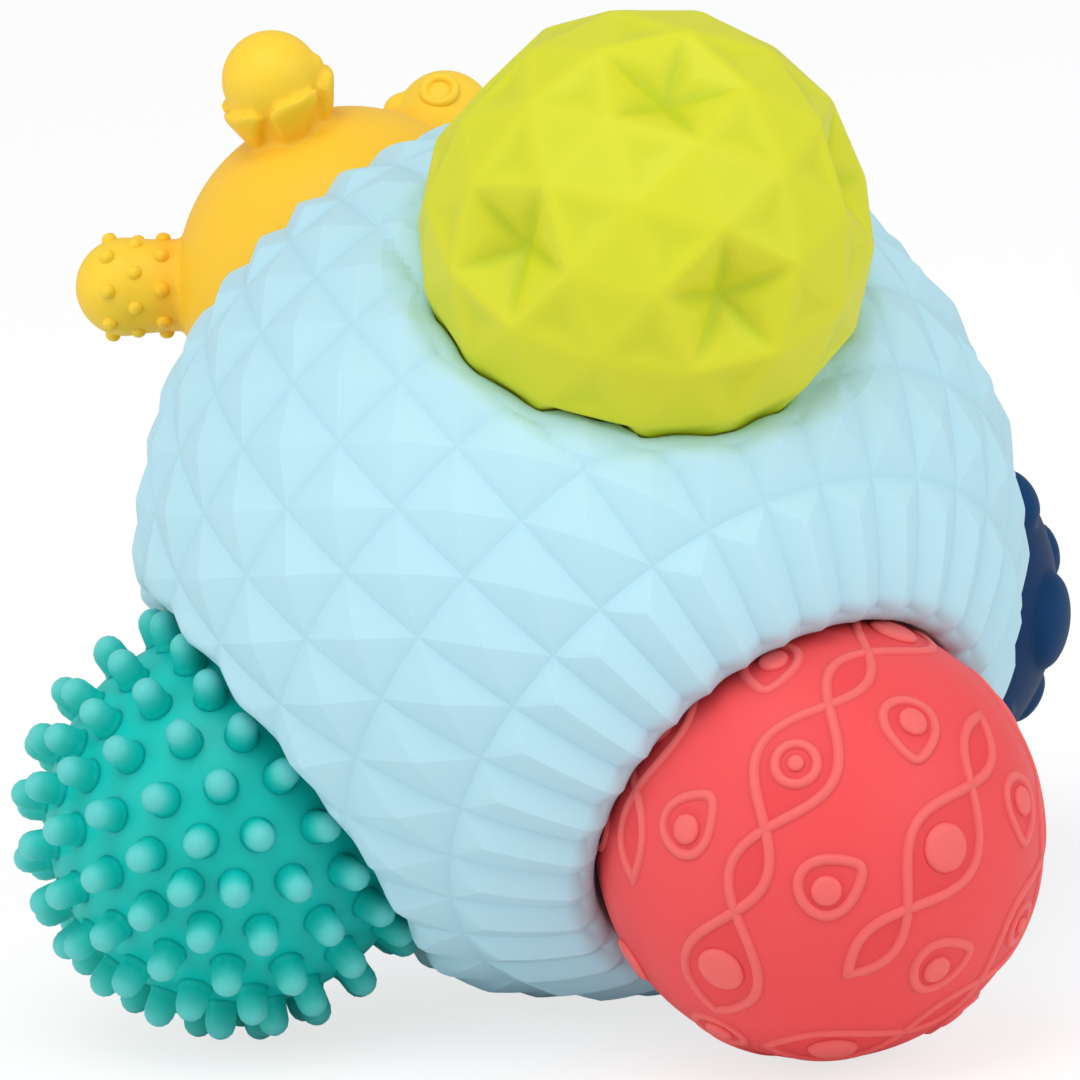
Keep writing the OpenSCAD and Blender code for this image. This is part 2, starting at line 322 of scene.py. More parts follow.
beltLatitude = math.degrees(math.atan(0.5))
beltLongitudes = np.arange(5) * 72.0
corners = np.vstack([
    [0, 0, 1],
    direction(beltLatitude, beltLongitudes),
    direction(-beltLatitude, beltLongitudes + 36),
    [0, 0, -1],
])
closeness = corners @ corners.T
near = (closeness > 0) & (closeness < 0.9)  # each corner's five neighbours
sides = [(i, j) for i in range(12) for j in range(i + 1, 12) if near[i, j]]
thirds = [(i, j, k) for i, j in sides for k in range(j + 1, 12) if near[i, k] and near[j, k]]
thirds = [f if np.linalg.det(corners[list(f)]) > 0 else (f[0], f[2], f[1]) for f in thirds]
faceMiddles = unit(np.array([corners[list(f)].sum(0) for f in thirds]))


def dividedSphere(steps):
    seen, points, faces = {}, [], []

    def place(v):
        key = tuple(np.round(v, 6) + 0.0)
        if key not in seen:
            seen[key] = len(points)
            points.append(v)
        return seen[key]

    for f in thirds:
        a, b, c = corners[list(f)]
        grid = {}
        for i in range(steps + 1):
            for j in range(steps + 1 - i):
                grid[i, j] = place(unit(a * (steps - i - j) + b * i + c * j))
        for i in range(steps):
            for j in range(steps - i):
                faces.append([grid[i, j], grid[i + 1, j], grid[i, j + 1]])
                if i + j < steps - 1:
                    faces.append([grid[i + 1, j], grid[i + 1, j + 1], grid[i, j + 1]])
    return np.array(points), faces


def softened(values, faces, rounds):  # each point drifts to the mean of its neighbours
    f = np.array(faces)
    ends = np.vstack([f[:, [0, 1]], f[:, [1, 2]], f[:, [2, 0]]])
    count = np.bincount(ends[:, 0], minlength=len(values))
    for _ in range(rounds):
        mean = np.bincount(ends[:, 0], values[ends[:, 1]], len(values)) / count
        values = (values + mean) / 2
    return values


# Soft satin vinyl

satin = {
    "cloudScale": 22, "grainScale": 2600, "peelScale": 240,
    "cloudShare": 0.5, "cloudTone": 0.93,
    # noise that breaks up the painted shade and the painted highlight
    "shadeMottle": 0.25, "highlightMottle": 0.2,
    "bumpStrength": 0.35, "bumpDistance": 0.06 * mm, "bumpPeel": 0.7, "bumpGrain": 0.3,
    "roughnessDrop": 0.06, "grainRoughness": 0.08, "cloudRoughness": 0.06,
    "index": 1.46, "glowRadius": (1.0, 0.7, 0.45), "glowScale": 4 * mm,
}


def linear(rgb):
    return [((c / 255 + 0.055) / 1.055) ** 2.4 if c > 10 else c / 255 / 12.92 for c in rgb]


def newMaterial(name):
    material = bpy.data.materials.new(name)
    material.use_nodes = True
    material.node_tree.nodes.clear()
    sheet = NodeSheet(material.node_tree)
    return material, sheet, sheet.add("ShaderNodeTexCoord", out=3)


# the colour after the vinyl's own is painted shade for hollows, creases and roots, the next a painted
# highlight for tips and raised parts
def vinyl(name, colour, shadeColour, highlightColour, roughness, glow=0.12, shine=0.3):
    material, sheet, place = newMaterial(name)
    colour, shadeColour, highlightColour = linear(colour), linear(shadeColour), linear(highlightColour)
    s = satin

    def noise(scale, detail):
        return sheet.add("ShaderNodeTexNoise", {}, {"Vector": place, "Scale": scale, "Detail": detail})

    def share(attribute, mottle, pattern):
        layer = sheet.add("ShaderNodeAttribute", {"attribute_name": attribute}, out=2)
        return layer * (1 - mottle + mottle * pattern)

    cloud, grain, peel = noise(s["cloudScale"], 2), noise(s["grainScale"], 2), noise(s["peelScale"], 1)
    dull = [s["cloudTone"] * c for c in colour]
    tone = sheet.blend(cloud * s["cloudShare"], (*colour, 1), (*dull, 1))
    # painted shade laid where the skin is hollow, creased or low, then a painted highlight on tips and
    # raised parts
    tone = sheet.blend(share("hollow", s["shadeMottle"], cloud), tone, (*shadeColour, 1))
    tone = sheet.blend(share("tip", s["highlightMottle"], grain), tone, (*highlightColour, 1))
    bump = sheet.add("ShaderNodeBump", {}, {
        "Strength": s["bumpStrength"],
        "Distance": s["bumpDistance"],
        "Height": peel * s["bumpPeel"] + grain * s["bumpGrain"],
    })
    least = roughness - s["roughnessDrop"]
    body = sheet.add("ShaderNodeBsdfPrincipled", {"subsurface_method": "RANDOM_WALK"}, {
        "Base Color": tone,
        "Roughness": least + s["grainRoughness"] * grain + s["cloudRoughness"] * cloud,
        "IOR": s["index"],
        "Specular IOR Level": shine,
        "Subsurface Weight": glow,
        "Subsurface Radius": s["glowRadius"],
        "Subsurface Scale": s["glowScale"],
        "Normal": bump,
    })
    sheet.add("ShaderNodeOutputMaterial", {}, {"Surface": body})
    return material


# Lime ball's facets: star dimples with ridges between their arms, small dents between the dimples

starBall = {
    "dimple": 31.6 * mm, "rim": 40.3 * mm, "ridge": 1.3 * mm, "dent": 0.8 * mm,
    "dimpleShare": 1 / 3,  # of an icosahedron's side
    "turn": 26, "steps": 64, "softening": 4,
    "tilt": -4.8,  # of the front
    "tiltHeights": [-0.9, -0.4],  # none below the first, towards the plug, and all above the second
    "creaseRounds": 16, "creaseDepth": 0.45 * mm,
    # painted shade down in the dimples and along the creases
    "dimpleShade": 0.5, "creaseShade": 0.7,
}


def starFacets():
    s = starBall
    facets = []

    def edgeOf(dimple, beyond):  # where a dimple ends on the way to the next one
        return s["rim"] * unit(dimple + s["dimpleShare"] * (beyond - dimple))

    for f in thirds:
        spots = corners[list(f)]
        peak = s["rim"] * unit(spots.sum(0))
        for i in range(3):
            here, ahead, behind = spots[i], spots[i - 2], spots[i - 1]
            after, before, far = edgeOf(here, ahead), edgeOf(here, behind), edgeOf(ahead, here)
            bottom, sill = s["dimple"] * here, (before + after) / 2
            ridge, dent = (bottom + sill) / 2, (2 * sill + peak) / 3
            ridge, dent = ridge + s["ridge"] * unit(ridge), dent - s["dent"] * unit(dent)
            facets += [[bottom, before, ridge], [bottom, ridge, after], [before, after, ridge]]
            facets += [[before, dent, after], [after, dent, peak], [peak, dent, before]]
            facets.append([after, peak, far])
    return np.array(facets)


def starReach(aims):  # distance from the ball's middle to its skin along each direction
    low, high = starBall["tiltHeights"]
    x, y, z = aims.T
    lean = math.radians(starBall["tilt"]) * np.clip((z - low) / (high - low), 0, 1)
    aims = np.stack([x, y * np.cos(lean) + z * np.sin(lean), z * np.cos(lean) - y * np.sin(lean)], 1)
    reach = np.zeros(len(aims))
    for facet in starFacets():
        shares = aims @ np.linalg.inv(facet)
        hit = shares.min(1) > -1e-6
        reach[hit] = 1 / shares[hit].sum(1)
    return reach


# Big ball: a quilted skin with five round-lipped sockets

quilt = {
    "columns": 32,
    "turn": 4.7,
    "rowLatitudes": [0, 12.6, 25.5, 40.5],
    "pleatStart": 44.5,
    "grooveDepth": 2 * mm,
    "ridgeBlend": 0.02,
    "peakBlend": 0.2,
    "creaseAngle": 9,
    # painted shade in the grooves, strongest at their bottoms
    "grooveShade": 0.3, "grooveShadePower": 8,
    "stepShares": [0, 0.06, 0.18, 0.4, 0.68, 0.9, 1],  # from a groove to a panel's middle
    "bandSteps": 5,
    "pleatSteps": 9,
    "edgeMargin": 1.6,
    "edgeShares": [0.4, 0.75],  # rings between a side socket's cut edge and its lip
    "lipRadius": 5 * mm,
    "lipSteps": 16,
    "lipKeep": 2.1, "lipKeepFall": 2.3,  # quilting left along a lip, held between 0 and 1
    "bowlSteps": 10,
    "ventRadius": 2.5 * mm, "ventDepth": 2.5 * mm,
    "hugGap": 0.25 * mm,
    "hugLimit": 6.5 * mm,
    "lipHug": 1.3, "bowlHug": 0.5, "bowlHugFall": 0.3,
}


def lipCentre():  # in the plane of a socket's axis, the lip's round touches the skin and the bowl
    reach = toy["ballRadius"] - quilt["lipRadius"]
    bowl = toy["smallRadius"] + toy["seatGap"]
    d = toy["seatDistance"]
    along = (reach**2 + d**2 - (bowl + quilt["lipRadius"])**2) / (2 * d)
    return math.sqrt(reach**2 - along**2), along


def lipProfile():  # points down the lip and the bowl, with the quilting left and the hug there
    q = quilt
    seatPoint = np.array([0, toy["seatDistance"]])
    middle = np.array(lipCentre())
    first = math.atan2(middle[1], middle[0])
    last = math.atan2(*(seatPoint - middle)[::-1])
    profile = []
    for share in np.linspace(0, 1, q["lipSteps"] + 1):
        angle = first + share * (last - first)
        spot = middle + q["lipRadius"] * np.array([math.cos(angle), math.sin(angle)])
        keep = min(1, max(0, q["lipKeep"] - q["lipKeepFall"] * share))
        profile.append((*spot, keep, min(1, q["lipHug"] * share)))
    bowl = toy["smallRadius"] + toy["seatGap"]
    top = math.atan2(spot[0], seatPoint[1] - spot[1])
    foot = math.asin(q["ventRadius"] / bowl)
    for i, angle in enumerate(np.linspace(top, foot, q["bowlSteps"] + 1)[1:]):
        hug = max(0, q["bowlHug"] - q["bowlHugFall"] * i)
        profile.append((bowl * math.sin(angle), seatPoint[1] - bowl * math.cos(angle), 0, hug))
    profile.append((q["ventRadius"], profile[-1][1] - q["ventDepth"], 0, 0))
    return profile


def limeHug(side, axes, spot):  # how far the soft lip follows the lime ball's facets inwards
    arms = spot[0] * side + (spot[1] - toy["seatDistance"]) * axes[:, 2]
    reach = starReach(unit(arms) @ axes @ turn("Z", starBall["turn"]))
    inset = toy["smallRadius"] + toy["seatGap"] - reach - quilt["hugGap"]
    inset = np.clip(inset, 0, quilt["hugLimit"])
    return (inset + (np.roll(inset, 1) + np.roll(inset, -1)) / 2) / 2


def panelShare(latitude):  # 0 on a groove to 1 on a row's middle, and whether it still rises there
    north, edges = np.abs(latitude), quilt["rowLatitudes"]
    share = np.clip((north - edges[-1]) / (quilt["pleatStart"] - edges[-1]), 0, 1)
    rising = latitude > 0
    for low, high in zip(edges, edges[1:]):
        here = (north >= low) & (north < high)
        spot = (north - low) / (high - low)
        share = np.where(here, 1 - np.abs(2 * spot - 1), share)
        rising = np.where(here, (spot < 0.5) == (latitude > 0), rising)
    return share, rising


def quiltGrid(lipAngle):  # the skin between the lips at the two poles
    q = quilt
    half = [s / 2 for s in q["stepShares"]]
    across = half[:-1] + [1 - s for s in reversed(half)][:-1]
    panel = 360 / q["columns"]
    longitudes = q["turn"] + np.add.outer(np.arange(q["columns"]), across).ravel() * panel
    edges, rows = q["rowLatitudes"], []
    for low, high in zip(edges, edges[1:]):
        rows += [low + s * (high - low) for s in across]
    rows += list(np.linspace(edges[-1], q["pleatStart"], q["bandSteps"]))
    rows += list(np.linspace(q["pleatStart"], 90 - math.degrees(lipAngle), q["pleatSteps"]))[1:]
    rows = [-r for r in reversed(rows[1:])] + rows
    points = np.concatenate([toy["ballRadius"] * direction(r, longitudes) for r in rows])
    faces, n, steps = [], len(longitudes), len(across)
    for i in range(len(rows) - 1):
        rising = panelShare(np.array([(rows[i] + rows[i + 1]) / 2]))[1][0]
        for c in range(n):  # each cell's diagonal runs along a pyramid's ridge
            a, b = i * n + c, i * n + (c + 1) % n
            if (c % steps < steps / 2) == rising:
                faces += [[a, b, b + n], [a, b + n, a + n]]
            else:
                faces += [[a, b, a + n], [b, b + n, a + n]]
    return points, faces


def quiltedBall():
    lipAngle = math.atan2(*lipCentre())
    points, faces = quiltGrid(lipAngle)
    for colour in sideSockets:
        axis = socketTurns[colour][:, 2]
        points, faces = cutRound(points, faces, axis, lipAngle + math.radians(quilt["edgeMargin"]))
    fade = [1.0] * len(points)
    profile = lipProfile()
    loops = openLoops(faces)
    for colour, axes in socketTurns.items():
        loop = max(loops, key=lambda l: unit(points[l].mean(0)) @ axes[:, 2])
        angle, side = roundAbout(points[loop], axes)
        rings, left, walk = [], [], profile[1:]
        if colour in sideSockets:
            walk = profile
            for share in quilt["edgeShares"]:
                bent = (angle + share * (lipAngle - angle))[:, None]
                rings.append(toy["ballRadius"] * (np.sin(bent) * side + np.cos(bent) * axes[:, 2]))
                left.append(1.0)
        inset = limeHug(side, axes, profile[quilt["lipSteps"]]) if colour == "lime" else 0 * angle
        for r, z, keep, hug in walk:
            rings.append((r - hug * inset)[:, None] * side + z * axes[:, 2])
            left.append(keep)
        points = closeLoop(points, faces, loop, rings, walk[-1][1] * axes[:, 2])
        fade += [k for k in left for _ in loop] + [0.0]
    obj = newObject("quiltedBall", points @ quiltAxes.T + ballCentre, faces)
    north = np.degrees(np.arcsin(np.clip(unit(points)[:, 2], -1, 1)))
    east = np.degrees(np.arctan2(points[:, 1], points[:, 0])) - quilt["turn"]
    column = np.mod(east * quilt["columns"] / 360, 1)
    setAttribute(obj, "across", 1 - np.abs(2 * column - 1))
    setAttribute(obj, "along", panelShare(north)[0])
    setAttribute(obj, "fade", fade)
    return obj


def quiltTree():
    sheet, given = growTree("quiltRelief", {
        "Groove Depth": "Float", "Ridge Blend": "Float", "Peak Blend": "Float", "Material": "Material",
    })
    rise = sheet.layer("across").softMin(sheet.layer("along"), given["Ridge Blend"])
    rise = rise.softMin(1.0, given["Peak Blend"])
    sunk = (1 - rise) * sheet.layer("fade")
    shift = sheet.scaled(sheet.add("GeometryNodeInputNormal"), sunk * given["Groove Depth"] * -1)
    pressed = sheet.add("GeometryNodeSetPosition", {}, {"Geometry": given["Geometry"], "Offset": shift})
    # painted shade, darkest at the bottom of each groove
    marked = sheet.add("GeometryNodeStoreNamedAttribute", {"data_type": "FLOAT", "domain": "POINT"}, {
        "Geometry": pressed, "Name": "hollow", "Value": sunk ** quilt["grooveShadePower"] * quilt["grooveShade"],
    })
    return endTree(sheet, marked, given["Material"])


skyVinyl = vinyl("skyVinyl", (186, 228, 242), (158, 208, 226), (205, 236, 247), roughness=0.5)
bigBall = quiltedBall()
runTree(bigBall, quiltTree(), {
    "Groove Depth": quilt["grooveDepth"], "Ridge Blend": quilt["ridgeBlend"],
    "Peak Blend": quilt["peakBlend"], "Material": skyVinyl,
})
bigBall.data.set_sharp_from_angle(angle=math.radians(quilt["creaseAngle"]))
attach(bigBall, "big_ball")
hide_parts("ball_shell", *[colour + "_cup" for colour in socketTurns])
print("quilted ball", len(bigBall.data.polygons), "faces")


# Lime ball: a soft skin over the facets

def limeBall(material):
    s = starBall
    aims, faces = dividedSphere(s["steps"])
    reach = np.minimum(softened(starReach(aims), faces, s["softening"]), toy["smallRadius"])
    # painted shade: darker down in the dimples and along the creases, and full inside the plug hole
    sunk = (toy["smallRadius"] - reach) / (s["rim"] - s["dimple"])
    crease = np.clip((softened(reach, faces, s["creaseRounds"]) - reach) / s["creaseDepth"], 0, 1)
    hollow = np.clip(s["dimpleShade"] * sunk**2 + s["creaseShade"] * crease, 0, 1)
    spots = aims * reach[:, None]
    shadeByPoint = {tuple(p): h for p, h in zip(np.round(spots, 7), hollow)}
    points, faces = openPlugHole(spots, faces, s["dimple"])
    obj = newObject("limeBall", seat("lime", points, s["turn"]), faces)
    setAttribute(obj, "hollow", [shadeByPoint.get(tuple(p), 1.0) for p in np.round(points, 7)])
    finishBall(obj, "lime", material)


limeBall(vinyl("limeVinyl", (216, 219, 44), (190, 205, 36), (236, 232, 80), roughness=0.48))


# Teal ball: round fingers all over

fingerBall = {
    "body": 33.5 * mm, "turn": 12, "skinSteps": 40,
    "steps": 4,  # from finger to finger along an icosahedron's side
    "plugRoom": 12,
    "flare": 3.5 * mm, "flareRise": -0.7 * mm, "bottom": -1 * mm,
    "rootRadius": 2.8 * mm, "rootRise": 0.5 * mm,
    "shaftRadius": 2.8 * mm, "shaftRise": 1.4 * mm,
    "tipRadius": 2.75 * mm, "tipAngles": [5, 33, 58, 78], "sides": 16,
    # painted highlight, growing towards each finger's tip
    "tipHighlightStart": 0.45, "tipHighlightLength": 0.5,  # of a finger's length
    # painted shade on the skin between the fingers and up their roots
    "skinShade": 0.5, "rootShadeFall": 2,
}


def fingerAims():
    steps = fingerBall["steps"]
    aims = [corners]
    for i, j in sides:
        shares = np.arange(1, steps)[:, None] / steps
        aims.append(unit(corners[i] * (1 - shares) + corners[j] * shares))
    for f in thirds:
        aims.append(unit(corners[list(f)].sum(0) + corners[list(f)]))
    aims = np.vstack(aims)
    return aims[aims[:, 2] > -math.cos(math.radians(fingerBall["plugRoom"]))]


def fingerTree():
    sheet, given = growTree("fingers", {"Finger": "Object", "Body": "Object", "Material": "Material"})
    fingers = sheet.spread(given["Geometry"], sheet.shape(given["Finger"]))
    return endTree(sheet, sheet.join(sheet.shape(given["Body"]), fingers), given["Material"])


def tealFinger(length):
    b = fingerBall
    profile = [
        (0, b["bottom"]), (b["flare"], b["flareRise"]),
        (b["rootRadius"], b["rootRise"]), (b["shaftRadius"], b["shaftRise"]),
    ]
    for a in np.radians(b["tipAngles"]):
        rise = length - b["tipRadius"] * (1 - math.sin(a))
        profile.append((b["tipRadius"] * math.cos(a), rise))
    finger = latheObject("finger", profile + [(0, length)], b["sides"])
    rise = spotsOf(finger.data)[:, 2] / length
    # painted highlight towards the tip and painted shade towards the root
    setAttribute(finger, "tip", np.clip((rise - b["tipHighlightStart"]) / b["tipHighlightLength"], 0, 1))
    setAttribute(finger, "hollow", np.clip(b["skinShade"] - rise * b["rootShadeFall"], 0, 1))
    return finger


def tealBall(material):
    b = fingerBall
    finger = tealFinger(toy["smallRadius"] - b["body"])
    aims, faces = dividedSphere(b["skinSteps"])
    points, faces = openPlugHole(aims * b["body"], faces, b["body"])
    skin = newObject("tealSkin", seat("teal", points, b["turn"]), faces)
    # no painted highlight on the skin, and an even painted shade
    setAttribute(skin, "tip", np.zeros(len(points)))
    setAttribute(skin, "hollow", np.full(len(points), b["skinShade"]))
    roots = seat("teal", fingerAims() * b["body"], b["turn"])
    obj = newObject("tealBall", roots, [])
    setAttribute(obj, "aim", unit(roots - seatCentre("teal")), "FLOAT_VECTOR")
    runTree(obj, fingerTree(), {"Finger": finger, "Body": skin, "Material": material})
    dropObject(finger, skin)
    finishBall(obj, "teal", material)


tealBall(vinyl("tealVinyl", (0, 200, 190), (0, 200, 190), (104, 206, 204), roughness=0.45, glow=0.3))


# Navy ball: low rounded pads

padBall = {
    "body": 37 * mm, "largePad": 9 * mm, "smallPad": 6 * mm,
    # painted shade on the low skin between the pads
    "steps": 48, "softening": 2, "padShadeFall": 1.5,
}


def navyBall(material):
    b = padBall
    aims, faces = dividedSphere(b["steps"])
    height = toy["smallRadius"] - b["body"]
    rise = np.zeros(len(aims))
    for middles, width in ((corners[:-1], b["largePad"]), (faceMiddles, b["smallPad"])):
        away = np.arccos(np.clip((aims @ middles.T).max(1), -1, 1)) * b["body"] / width
        rise = np.maximum(rise, np.sqrt(np.clip(1 - away**2, 0, 1)))
    rise = softened(rise, faces, b["softening"])
    reach = b["body"] + height * rise / rise.max()
    points, faces = openPlugHole(aims * reach[:, None], faces, b["body"])
    obj = newObject("navyBall", seat("navy", points), faces)
    # painted shade, darkest on the low skin between the pads
    risen = (np.linalg.norm(points, axis=1) - b["body"]) / height
    setAttribute(obj, "hollow", np.clip(1 - risen * b["padShadeFall"], 0, 1))
    finishBall(obj, "navy", material)


navyBall(vinyl(
    "navyVinyl", (8, 60, 106), (6, 50, 92), (36, 80, 124), roughness=0.5, glow=0.0, shine=0.12,
))


# Red ball: bands of two crossing wavy lines, with eyes in their loops and drops between them

lineBall = {
    "skin": 39.2 * mm,
    "skinSteps": 40,
    "lineRadius": 1.25 * mm,
    "lineTop": 39.8 * mm,
    "lineSides": 10,
    "patternTurns": [-55.6, 116.6, 105.4],  # about the third, second and third axis
    "bands": 8,
    "bandEnds": [77, 42],  # every second band is shorter
    "endFade": 3,
    "points": 120,  # along one line of a band
    "waveLength": 60,
    "wide": 5.3 * mm,
    "eyeExtra": 1.9 * mm,  # loops that hold an eye are wider than those between them
    "ring": 3.7 * mm,
    "poleRing": 1.3,  # of a ring's size
    "loopPoints": 40,
    "dropLatitude": 24,
    "dropTurn": 30,
    "dropWidth": 4.9 * mm,
    "dropLength": 5.4 * mm,
    "dropTaper": 0.2,
    "dropPoint": 1.0 * mm, "dropSharpness": 6,
    "disc": 4.3 * mm,
    "smallDisc": 1.5 * mm,
    "dropDisc": 2.7 * mm, "dropDiscShift": 1.5,
    "discProfile": [  # shares of a disc's radius and height
        (0, -0.5), (1.06, -0.4375), (1, 0.1875), (0.9, 0.62), (0.72, 0.86), (0.4, 0.97), (0, 1),
    ],
    "discSides": 24,
    "plugRoom": 9,
    # painted shade, a darker red, inside the loops of the bands and the drops
    "bandShadeEdge": 1.2 * mm, "dropShadeEdge": 1.5 * mm, "loopShadeStrength": 0.45,
    # painted highlight on the raised lines and discs
    "raisedHighlight": 0.75, "raisedHighlightRise": 1.6,
}


def patternAxes():
    first, second, third = lineBall["patternTurns"]
    return turn("Z", first) @ turn("Y", second) @ turn("Z", third)


def bandSwing(climb, end):  # from a band's middle out to each of its two lines
    p = lineBall
    swing = p["wide"] * np.cos(np.radians(climb * 360 / p["waveLength"])) + p["eyeExtra"]
    return swing * np.sqrt(np.clip((end - np.abs(climb)) / p["endFade"], 0, 1))


def insideBands(aims):  # 1 within the loops of a band, where a painted shade of darker red lies
    p = lineBall
    x, y, z = (aims @ patternAxes()).T
    latitude, longitude = np.degrees(np.arcsin(np.clip(z, -1, 1))), np.degrees(np.arctan2(y, x))
    step = 360 / p["bands"]
    band = np.round(longitude / step)
    end = np.where(band % 2, p["bandEnds"][1], p["bandEnds"][0])
    off = np.radians(np.abs(longitude - band * step)) * np.cos(np.radians(latitude)) * p["skin"]
    return np.clip((np.abs(bandSwing(latitude, end)) - off) / p["bandShadeEdge"], 0, 1)


def insideDrops(aims, discs):  # the same within the drops
    p = lineBall
    loopShade = np.zeros(len(aims))
    for aim, size in discs:
        if size == p["dropDisc"]:
            off = np.arccos(np.clip(aims @ aim, -1, 1)) * p["skin"]
            loopShade = np.maximum(loopShade, np.clip((p["dropWidth"] - off) / p["dropShadeEdge"], 0, 1))
    return loopShade


def dropOutline():  # rounder at one end, drawn to a point at the other
    p = lineBall
    step = fullTurn(p["loopPoints"])
    x = p["dropWidth"] * np.cos(step) * (1 - p["dropTaper"] * np.sin(step))
    y = p["dropLength"] * np.sin(step)
    y += p["dropPoint"] * np.clip(np.sin(step), 0, 1) ** p["dropSharpness"]
    spin = math.radians(p["dropTurn"])
    return x * math.cos(spin) + y * math.sin(spin), y * math.cos(spin) - x * math.sin(spin)


def loopAt(latitude, longitude, x, y):  # a flat outline laid on the ball
    middle = direction(latitude, longitude)
    east = np.array([-math.sin(math.radians(longitude)), math.cos(math.radians(longitude)), 0])
    north = np.cross(middle, east)
    return unit(middle + np.outer(x, east) / lineBall["skin"] + np.outer(y, north) / lineBall["skin"])


def redPattern():  # closed lines and discs as directions from the middle of the ball
    p = lineBall
    lines, discs = [], []
    ringX, ringY = p["ring"] * direction(0, np.degrees(fullTurn(p["loopPoints"])))[:, :2].T
    dropX, dropY = dropOutline()
    step = 360 / p["bands"]
    for i in range(p["bands"]):
        middle, end = i * step, p["bandEnds"][i % 2]
        climb = np.linspace(-end, end, p["points"])
        aside = np.degrees(bandSwing(climb, end) / p["skin"]) / np.cos(np.radians(climb))
        up, down = direction(climb, middle + aside), direction(climb, middle - aside)
        lines.append(np.vstack([up, down[-2:0:-1]]))
        waves = (0,) if i % 2 else (-1, 0, 1)
        for wave in waves:
            latitude = wave * p["waveLength"]
            ringed = (i + wave) % 2 == 0
            if ringed:
                lines.append(loopAt(latitude, middle, ringX, ringY))
            discs.append((direction(latitude, middle), p["smallDisc"] if ringed else p["disc"]))
        for tip in (-1, 1):  # a drop's point is towards the middle of the bands
            latitude, beside = -tip * p["dropLatitude"], (i + 0.5) * step
            lines.append(loopAt(latitude, beside, dropX, tip * dropY))
            discs.append((direction(latitude - tip * p["dropDiscShift"], beside), p["dropDisc"]))
    for latitude in (-90, 90):
        lines.append(loopAt(latitude, 0, p["poleRing"] * ringX, p["poleRing"] * ringY))
        discs.append((direction(latitude, 0), p["dropDisc"]))
    axes = patternAxes()
    return [line @ axes.T for line in lines], [(aim @ axes.T, size) for aim, size in discs]


def raisedTree():
    sheet, given = growTree("raisedLines", {
        "Discs": "Object", "Disc": "Object", "Body": "Object", "Line Radius": "Float",
        "Material": "Material",
    })
    curve = sheet.add("GeometryNodeMeshToCurve", {}, {"Mesh": given["Geometry"]})
    section = sheet.add("GeometryNodeCurvePrimitiveCircle", {}, {
        "Resolution": lineBall["lineSides"], "Radius": given["Line Radius"],
    })
    bead = sheet.add("GeometryNodeCurveToMesh", {}, {"Curve": curve, "Profile Curve": section})
    size = sheet.layer("size")
    wide = sheet.add("ShaderNodeCombineXYZ", {}, {"X": size, "Y": size, "Z": 1.0})
    discs = sheet.spread(sheet.shape(given["Discs"]), sheet.shape(given["Disc"]), {"Scale": wide})
    return endTree(sheet, sheet.join(sheet.shape(given["Body"]), bead, discs), given["Material"])


def redBall(material):
    p = lineBall
    height = toy["smallRadius"] - p["skin"]
    lowest = -math.cos(math.radians(p["plugRoom"]))
    lines, discs = redPattern()
    aims, faces = dividedSphere(p["skinSteps"])
    points, faces = openPlugHole(aims * p["skin"], faces, p["skin"])
    skin = newObject("redSkin", seat("red", points), faces)
    # painted shade: a darker red inside the loops and the drops
    loopShade = np.maximum(insideBands(unit(points)), insideDrops(unit(points), discs))
    setAttribute(skin, "hollow", loopShade * p["loopShadeStrength"])
    spots, edges = [], []
    for line in lines:
        if line[:, 2].min() > lowest:
            first = sum(len(s) for s in spots)
            edges += [(first + i, first + (i + 1) % len(line)) for i in range(len(line))]
            spots.append(seat("red", line * (p["lineTop"] - p["lineRadius"])))
    obj = newObject("redBall", np.vstack(spots), [], edges)
    discs = [(aim, size) for aim, size in discs if aim[2] > lowest]
    seated = seat("red", np.array([aim for aim, size in discs]) * p["skin"])
    eyes = newObject("eyes", seated, [])
    setAttribute(eyes, "aim", unit(seated - seatCentre("red")), "FLOAT_VECTOR")
    setAttribute(eyes, "size", [size / mm for aim, size in discs])
    disc = latheObject("disc", [(r * mm, z * height) for r, z in p["discProfile"]], p["discSides"])
    runTree(obj, raisedTree(), {
        "Discs": eyes, "Disc": disc, "Body": skin, "Line Radius": p["lineRadius"], "Material": material,
    })
    dropObject(eyes, disc, skin)
    # painted highlight on the raised lines and discs, lighter with height
    reach = np.linalg.norm(spotsOf(obj.data) - seatCentre("red"), axis=1)
    raised = np.clip((reach - p["skin"]) / height * p["raisedHighlightRise"], 0, 1)
    setAttribute(obj, "tip", raised * p["raisedHighlight"])
    finishBall(obj, "red", material)


redBall(vinyl("redVinyl", (242, 80, 83), (228, 58, 64), (248, 118, 114), roughness=0.46))


# Yellow ball: thick knobs round a smooth body

